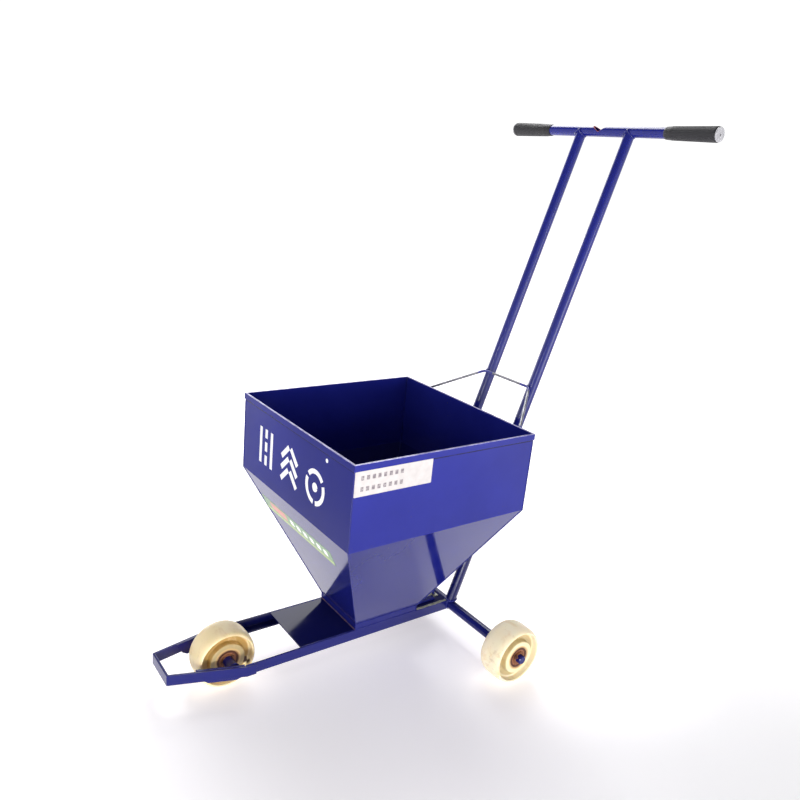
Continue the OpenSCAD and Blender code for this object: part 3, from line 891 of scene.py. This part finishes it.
rear_face_y = skirt_rear_y + 0.6 * MM
bead_y = stay_y + 2.4 * MM
welds(
    "stay_foot_welds",
    [
        [(s * (foot_x - h * 4), rear_face_y, foot_z + h) for h in (1 * MM, -1 * MM)]
        for s in (1, -1)
    ],
    2.4 * MM,
    weld_paint,
    pitch=3 * MM,
    lump=0.3,
)
welds(
    "stay_tube_welds",
    [
        [(s * tube_x - 5 * MM, bead_y, stay_z - h), (s * tube_x + 4 * MM, bead_y, stay_z - h)]
        for s in (1, -1)
        for h in (2.4 * MM, -2.4 * MM)
    ],
    1.8 * MM,
    weld_paint,
    pitch=3 * MM,
    lump=0.3,
)


# ---------------------------------------------------------------- grips

GRIP_SIDES = 120
FLUTES = 30
GRIP_GROOVE = 0.45 * MM
BODY_STEPS = 12


def grip(side):
    """A moulded rubber grip: plain collar, fluted body, rounded outer end."""
    node = "grip_left" if side > 0 else "grip_right"
    low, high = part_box(node)
    length = high.x - low.x
    outer_r = (high.z - low.z) / 2
    collar_r = pipe_r + 1.1 * MM
    waist_r = pipe_r + 2.4 * MM
    bore_r = pipe_r + 0.1 * MM
    profile = [
        (0.0, bore_r, 0),
        (0.0, collar_r - 0.4 * MM, 0),
        (0.4 * MM, collar_r, 0),
        (4 * MM, collar_r + 0.4 * MM, 0),
        (9 * MM, collar_r + 0.7 * MM, 0),
        (12 * MM, waist_r - 0.3 * MM, 0),
        (14 * MM, waist_r, 0),
    ]
    body_start, body_end = 16 * MM, length - 9 * MM
    for i in range(BODY_STEPS + 1):
        at = body_start + (body_end - body_start) * i / BODY_STEPS
        r = waist_r + (outer_r - waist_r) * (at - 14 * MM) / (length - 14 * MM - 2.5 * MM)
        profile.append((at, r, 0 if i in (0, BODY_STEPS) else 1))
    profile += [
        (length - 5 * MM, outer_r - 0.1 * MM, 0),
        (length - 2.5 * MM, outer_r, 0),
        (length - 1.2 * MM, outer_r - 0.35 * MM, 0),
        (length - 0.3 * MM, outer_r - 1.3 * MM, 0),
        (length, outer_r - 2.5 * MM, 0),
        (length, bore_r, 0),
    ]
    start = low.x if side > 0 else high.x
    vertices, faces = [], []
    for along, r, fluted in profile:
        for k in range(GRIP_SIDES):
            angle = 2 * math.pi * k / GRIP_SIDES
            groove = fluted * GRIP_GROOVE * (0.5 - 0.5 * math.cos(angle * FLUTES)) ** 2
            reach = r - groove
            vertices.append((
                start + side * along,
                bar_centre.y + reach * math.cos(angle),
                bar_centre.z + reach * math.sin(angle),
            ))
    rings = len(profile)
    for i in range(rings):
        j = (i + 1) % rings
        for k in range(GRIP_SIDES):
            m = (k + 1) % GRIP_SIDES
            face = (i * GRIP_SIDES + k, i * GRIP_SIDES + m, j * GRIP_SIDES + m, j * GRIP_SIDES + k)
            faces.append(face if side < 0 else face[::-1])
    made = place_mesh(f"{node}_moulded", vertices, faces, grip_rubber, smooth=50)
    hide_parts(node)


grip(1)
grip(-1)

# ---------------------------------------------------------------- plain markings

stencil_white = flat_print("stencil_white", (0.74, 0.74, 0.76, 1), (0.86, 0.86, 0.88, 1), 0.45)
sticker_green = flat_print("sticker_green", (0.055, 0.17, 0.045, 1), (0.11, 0.26, 0.07, 1), 0.30)
sticker_lime = flat_print("sticker_lime", (0.24, 0.36, 0.06, 1), (0.33, 0.44, 0.10, 1), 0.30)
sticker_red = flat_print("sticker_red", (0.42, 0.10, 0.07, 1), (0.55, 0.16, 0.10, 1), 0.30)
sticker_white = flat_print("sticker_white", (0.70, 0.74, 0.68, 1), (0.82, 0.85, 0.80, 1), 0.30)

LABEL_W, LABEL_H = 154 * MM, 44 * MM
label_y0 = skirt_front_y + 1.5 * MM
label_z0 = rim_z - HEM_H - LABEL_H
label_paper = flat_print(
    "label_paper", (0.50, 0.47, 0.46, 1), (0.58, 0.55, 0.54, 1), 0.55,
    rows={"start": label_y0 + 12 * MM, "end": label_y0 + 96 * MM, "ink": (0.16, 0.13, 0.15, 1),
          "levels": (label_z0 + 9 * MM, label_z0 + 28 * MM)},
)
slabs(
    "side_label", [rounded(0, 0, LABEL_W, LABEL_H, 1.5 * MM)], Vector((skirt_x, label_y0, label_z0)), Y, Z,
    0.25 * MM, label_paper,
)

# Plain road-marking shapes in place of lettering: lane lines, chevrons and a ring.
STROKE = 8 * MM
lane_mark = [
    stroke((-19 * MM, -31 * MM), (-19 * MM, 31 * MM), STROKE),
    stroke((0, -31 * MM), (0, -14 * MM), STROKE),
    stroke((0, -7 * MM), (0, 9 * MM), STROKE),
    stroke((0, 16 * MM), (0, 31 * MM), STROKE),
    stroke((19 * MM, -31 * MM), (19 * MM, 31 * MM), STROKE),
]
chevron_mark = [
    stroke((side * 3 * MM, top), (side * 24 * MM, top - 20 * MM), STROKE)
    for top in (29 * MM, 11 * MM, -7 * MM) for side in (1, -1)
]
ring_mark = [arc_bar(20 * MM, 27 * MM, start + 8, start + 112) for start in (-90, 30, 150)]
ring_mark.append(arc_bar(0.5 * MM, 7 * MM, 0, 350))
MARK_Z = rim_z - 83 * MM
FILM = 0.18 * MM
marks = [
    shifted(enlarged(outline, scale), across, up)
    for mark, scale, across, up in (
        (lane_mark, 1.15, -103 * MM, 3 * MM),
        (chevron_mark, 1.2, -11 * MM, 0),
        (ring_mark, 1.2, 82 * MM, -2 * MM),
    )
    for outline in mark
]
dot = [arc_bar(0.4 * MM, 3.6 * MM, 0, 352)]
dot_place = Vector((115 * MM, skirt_front_y, rim_z - 24 * MM))
slabs("front_stencil_marks", marks, Vector((0, skirt_front_y, MARK_Z)), X, Z, FILM, stencil_white)
slabs("front_dot", dot, dot_place, X, Z, FILM, stencil_white)

chute_up = Vector((0, skirt_front_y - neck_front, fold_z - neck_z)).normalized()
chute_origin = Vector((0, neck_front, neck_z))
STICKER_V = 206 * MM
STICKER_T = 0.15 * MM
BLOCK_STARTS = range(-48, 78, 25)


def on_chute(name, outlines, material, thickness=0.08 * MM, lift=STICKER_T):
    """Part of the sticker on the front chute, its outlines measured from the sticker's middle line."""
    slabs(name, outlines, chute_origin + chute_up * STICKER_V, X, chute_up, thickness, material, lift)


backing = [rounded(-160 * MM, -18 * MM, 108 * MM, 18 * MM, 2 * MM)]
blocks = [rounded(a * MM, -5 * MM, (a + 14) * MM, 9 * MM, 3 * MM) for a in BLOCK_STARTS]
on_chute("chute_sticker", backing, sticker_green, STICKER_T, 0.0)
on_chute("chute_sticker_edge", [rounded(-158 * MM, -16.5 * MM, 106 * MM, -9 * MM, 1 * MM)], sticker_lime)
on_chute("chute_sticker_badge", [rounded(-128 * MM, -6 * MM, -62 * MM, 13 * MM, 5 * MM)], sticker_red)
on_chute("chute_sticker_blocks", blocks, sticker_white)


# ---------------------------------------------------------------- floor, light and camera

FLOOR_R = 14.0
# Each dim place has the share of the glow that is left within DIM_NEAR of it. Past DIM_FAR all of it is.
# Each bright place has the distances where its added glow is full and gone, then that glow.
DIM_NEAR, DIM_FAR = 0.25, 0.80
DIM_PLACES = (((0.95, 0.35, 0.0), 0.35), ((-0.80, -0.95, 0.0), 0.25))
BRIGHT_PLACES = (((-0.40, -0.20, 0.0), 0.15, 0.60, 0.38), ((0.24, 0.34, 0.0), 0.08, 0.34, 0.30))


def floor():
    """A plain pale floor with a soft glow, weaker round the dim places and stronger round the bright ones."""
    s = Shader("floor_paper", roughness=0.85)
    paper = s.ramp(s.noise(2.0, 3.0), (0.3, (0.80, 0.80, 0.81, 1)), (0.7, (0.83, 0.83, 0.84, 1)))
    s.set("Base Color", paper)
    away = s.vector("LENGTH", s.position, (0, 0, 0))
    glow = s.math("ADD", s.span(away, 0.3, 1.4, 0.34, 0.60), s.span(away, 1.8, 4.0, 0.0, 0.45))
    for place, level in DIM_PLACES:
        far_off = s.vector("DISTANCE", s.position, place)
        glow = s.math("MULTIPLY", glow, s.span(far_off, DIM_NEAR, DIM_FAR, level, 1.0))
    for place, near, far, level in BRIGHT_PLACES:
        far_off = s.vector("DISTANCE", s.position, place)
        glow = s.math("ADD", glow, s.span(far_off, near, far, level, 0.0))
    s.set("Emission Color", (1.0, 0.94, 0.985, 1))
    s.set("Emission Strength", glow)
    steps = 96
    mesh = bpy.data.meshes.new("floor")
    angles = [2 * math.pi * i / steps for i in range(steps)]
    rim = [(FLOOR_R * math.cos(a), FLOOR_R * math.sin(a), 0) for a in angles]
    mesh.from_pydata(rim, [], [tuple(range(steps))])
    mesh.materials.append(s.material)
    o = bpy.data.objects.new("floor", mesh)
    bpy.context.scene.collection.objects.link(o)


def sky():
    """White near the horizon and dim overhead, as in a studio with a lit backdrop."""
    world = bpy.data.worlds.new("studio")
    bpy.context.scene.world = world
    world.use_nodes = True
    tree = world.node_tree
    background = tree.nodes["Background"]
    coordinates = tree.nodes.new("ShaderNodeTexCoord")
    parts = tree.nodes.new("ShaderNodeSeparateXYZ")
    shade = tree.nodes.new("ShaderNodeValToRGB")
    tree.links.new(coordinates.outputs["Generated"], parts.inputs[0])
    tree.links.new(parts.outputs["Z"], shade.inputs["Fac"])
    tree.links.new(shade.outputs["Color"], background.inputs["Color"])
    stops = ((0.0, 1.1), (0.24, 1.1), (0.46, 0.20), (1.0, 0.04))
    elements = shade.color_ramp.elements
    while len(elements) < len(stops):
        elements.new(0.5)
    for element, (position, level) in zip(elements, stops):
        element.position = position
        element.color = (level, level, level, 1)
    background.inputs["Strength"].default_value = 1.0


def softbox(name, place, target, size, power):
    """An area light aimed at target and unseen by the camera, its size in metres and power in watts."""
    light = bpy.data.lights.new(name, "AREA")
    light.shape = "RECTANGLE"
    light.size, light.size_y = size
    light.energy = power
    o = bpy.data.objects.new(name, light)
    o.location = place
    o.rotation_euler = (Vector(target) - Vector(place)).to_track_quat("-Z", "Y").to_euler()
    o.visible_camera = False
    bpy.context.scene.collection.objects.link(o)


floor()
sky()
softbox("back_box", (-1.2, 0.8, 2.2), (-0.1, 0.0, 0), (1.4, 1.4), 45)
softbox("right_box", (-2.4, 0.2, 0.5), (0, 0, 0.1), (2.0, 0.8), 20)
softbox("side_box", (2.6, 0.6, 0.7), (0, 0, 0.4), (1.6, 1.0), 18)
softbox("strip_box", (0.55, -2.1, 1.05), (0, 0.25, 0.6), (0.12, 0.8), 6)
softbox("low_box", (2.1, -1.4, 0.35), (0, 0, 0.2), (1.4, 0.5), 42)
softbox("far_card", (-1.50, 0.62, 1.19), (-0.03, -0.21, 0.07), (1.0, 1.0), 7)

LENS, SENSOR = 34.0, 36.0
AZIMUTH, ELEVATION, ROLL = (math.radians(a) for a in (52.7, 17.0, 5.6))
TARGET = Vector((15.0, -19.7, 507.7)) * MM
DISTANCE = 1419.6 * MM


def camera():
    """The camera on a line from the target, by azimuth, elevation and roll."""
    back = Vector((
        math.sin(AZIMUTH) * math.cos(ELEVATION),
        -math.cos(AZIMUTH) * math.cos(ELEVATION),
        math.sin(ELEVATION),
    ))
    level = Vector((math.cos(AZIMUTH), math.sin(AZIMUTH), 0))
    upright = back.cross(level)
    right = level * math.cos(ROLL) + upright * math.sin(ROLL)
    up = upright * math.cos(ROLL) - level * math.sin(ROLL)
    data = bpy.data.cameras.new("camera")
    data.lens = LENS
    data.sensor_width = SENSOR
    o = bpy.data.objects.new("camera", data)
    matrix = o.matrix_world.copy()
    for row in range(3):
        matrix[row][0], matrix[row][1], matrix[row][2] = right[row], up[row], back[row]
        matrix[row][3] = (TARGET + back * DISTANCE)[row]
    o.matrix_world = matrix
    bpy.context.scene.collection.objects.link(o)
    bpy.context.scene.camera = o


camera()
bpy.context.scene.view_settings.view_transform = "Standard"
